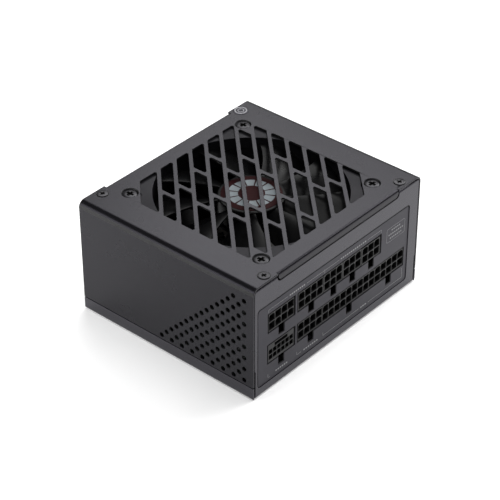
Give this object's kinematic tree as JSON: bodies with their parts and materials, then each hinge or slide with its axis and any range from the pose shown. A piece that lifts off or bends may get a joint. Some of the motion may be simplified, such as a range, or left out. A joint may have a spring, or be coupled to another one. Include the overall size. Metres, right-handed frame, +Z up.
{
  "type": "computer power supply unit",
  "caption": "Compact modular computer power supply: folded steel case, slotted grille over a top fan, a wall of output sockets, rear mains inlet and rocker switch.",
  "frame": {"origin": "centre of the case's underside, on the plane it stands on", "axes": "+X along the socket panel, to the right as it is faced; -Y out of the socket panel and +Y out of the mains inlet panel; +Z up, out of the fan grille"},
  "size_m": [0.125, 0.1119, 0.0639],
  "materials": {
    "painted": "matte dark grey powder coat",
    "label": "matt dark grey printed film",
    "screw_black": "black oxide",
    "foil": "silver foil sticker",
    "fan_plastic": "satin black",
    "magnet": "bonded ferrite, grey",
    "steel": "plated",
    "sticker": "printed dark red film",
    "brass": "turned",
    "copper": "enamelled copper wire",
    "cable": "black insulation",
    "nylon": "natural white",
    "socket_plastic": "matte black",
    "rocker_plastic": "gloss black",
    "circuit_board": "green solder mask",
    "film": "black insulating film",
    "ferrite": "dark grey ferrite",
    "tape": "yellow winding tape",
    "toroid": "green coated core",
    "sleeve": "shrink sleeve",
    "box_cap": "yellow case",
    "chip": "moulded black",
    "aluminium": "extruded"
  },
  "bodies": {
    "case": {"top_cover": "painted", "tray": "painted", "socket_label": "label", "cover_screw_front_left": "screw_black", "cover_screw_front_right": "screw_black", "cover_screw_rear_left": "screw_black", "cover_screw_rear_right": "screw_black", "seal_sticker": "foil", "fan_frame": "fan_plastic", "fan_bearing": "brass", "fan_stator": "copper", "fan_screw_front_left": "screw_black", "fan_screw_front_right": "screw_black", "fan_screw_rear_left": "screw_black", "fan_screw_rear_right": "screw_black", "fan_lead": "cable", "fan_plug": "nylon", "socket_8pin_top_left": "socket_plastic", "socket_8pin_top_right": "socket_plastic", "socket_6pin_left": "socket_plastic", "socket_6pin_middle": "socket_plastic", "socket_6pin_right": "socket_plastic", "socket_16pin": "socket_plastic", "socket_8pin_bottom": "socket_plastic", "socket_18pin": "socket_plastic", "socket_10pin": "socket_plastic", "socket_board": "circuit_board", "ac_inlet": "socket_plastic", "inlet_pin_live": "steel", "inlet_pin_neutral": "steel", "inlet_pin_earth": "steel", "switch_housing": "socket_plastic", "main_board": "circuit_board", "insulating_sheet": "film", "board_screw_1": "steel", "board_screw_2": "steel", "board_screw_3": "steel", "board_screw_4": "steel", "control_board": "circuit_board", "transformer_core": "ferrite", "transformer_winding": "tape", "pfc_choke": "copper", "emi_choke": "toroid", "output_choke": "copper", "bulk_capacitor": "sleeve", "output_capacitor_1": "sleeve", "output_capacitor_2": "sleeve", "x_capacitor": "box_cap", "bridge_rectifier": "chip", "power_transistor": "chip", "output_rectifier": "chip", "relay": "chip", "primary_heatsink": "aluminium", "secondary_heatsink": "aluminium"},
    "fan": {"fan_rotor": "fan_plastic", "fan_magnet_ring": "magnet", "fan_shaft": "steel", "fan_hub_sticker": "sticker"},
    "rocker": {"switch_rocker": "rocker_plastic"}
  },
  "joints": [
    {"name": "fan_spin", "type": "hinge", "parent": "case", "child": "fan", "pos_m": [0, 0, 0.052], "axis": [0, 0, 1], "continuous": true},
    {"name": "rocker_tilt", "type": "hinge", "parent": "case", "child": "rocker", "pos_m": [0.009, 0.05375, 0.0215], "axis": [1, 0, 0], "range_deg": [-22, 0]}
  ]
}
